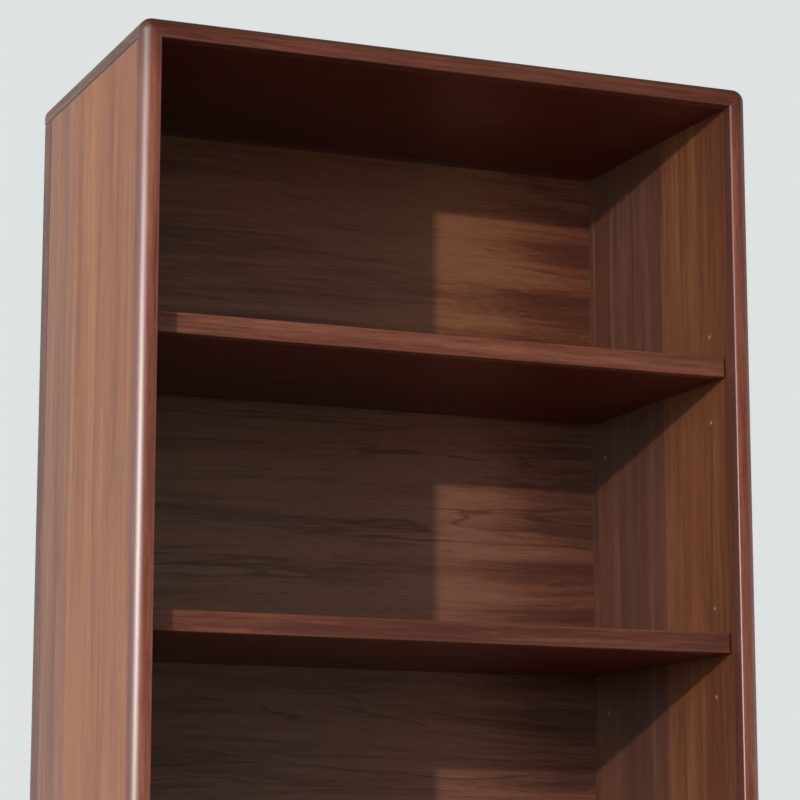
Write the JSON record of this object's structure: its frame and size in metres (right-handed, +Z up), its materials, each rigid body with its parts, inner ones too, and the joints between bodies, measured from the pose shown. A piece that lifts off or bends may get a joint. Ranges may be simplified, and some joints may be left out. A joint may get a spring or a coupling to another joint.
{
  "type": "open-front bookcase",
  "caption": "Tall open-front bookcase of veneered board with rounded solid lippings, a back panel, a recessed plinth and loose shelves that lie on pins.",
  "frame": {"origin": "on the floor under the middle of the case", "axes": "+X to the right seen from the front, +Y to the back, +Z up"},
  "size_m": [0.8, 0.42, 1.81],
  "materials": {
    "veneer": "satin lacquer",
    "solid_edge": "satin lacquer",
    "back_veneer": "satin lacquer",
    "dowel_wood": "raw",
    "steel": "zinc plated",
    "glide_plastic": "matte"
  },
  "bodies": {
    "case": {"left_side_panel": "veneer", "right_side_panel": "veneer", "top_panel": "veneer", "bottom_panel": "veneer", "left_front_lipping": "solid_edge", "right_front_lipping": "solid_edge", "left_rear_lipping": "solid_edge", "right_rear_lipping": "solid_edge", "top_front_lipping": "solid_edge", "top_left_rim": "solid_edge", "top_right_rim": "solid_edge", "top_rear_lipping": "solid_edge", "bottom_front_lipping": "solid_edge", "front_plinth_board": "solid_edge", "rear_plinth_board": "solid_edge", "back_panel": "back_veneer", "top_dowels": "dowel_wood", "bottom_dowels": "dowel_wood", "plinth_dowels": "dowel_wood", "back_panel_screws": "steel", "floor_glides": "glide_plastic", "shelf_1_pins": "steel", "shelf_2_pins": "steel", "shelf_3_pins": "steel", "shelf_4_pins": "steel"},
    "shelf_1": {"shelf_1_board": "veneer", "shelf_1_lipping": "solid_edge"},
    "shelf_2": {"shelf_2_board": "veneer", "shelf_2_lipping": "solid_edge"},
    "shelf_3": {"shelf_3_board": "veneer", "shelf_3_lipping": "solid_edge"},
    "shelf_4": {"shelf_4_board": "veneer", "shelf_4_lipping": "solid_edge"}
  },
  "joints": [
    {"name": "shelf_1_lift", "type": "slide", "parent": "case", "child": "shelf_1", "axis": [0, 0, 1], "range_m": [0, 0.29]},
    {"name": "shelf_2_lift", "type": "slide", "parent": "case", "child": "shelf_2", "axis": [0, 0, 1], "range_m": [0, 0.29]},
    {"name": "shelf_3_lift", "type": "slide", "parent": "case", "child": "shelf_3", "axis": [0, 0, 1], "range_m": [0, 0.29]},
    {"name": "shelf_4_lift", "type": "slide", "parent": "case", "child": "shelf_4", "axis": [0, 0, 1], "range_m": [0, 0.29]}
  ]
}
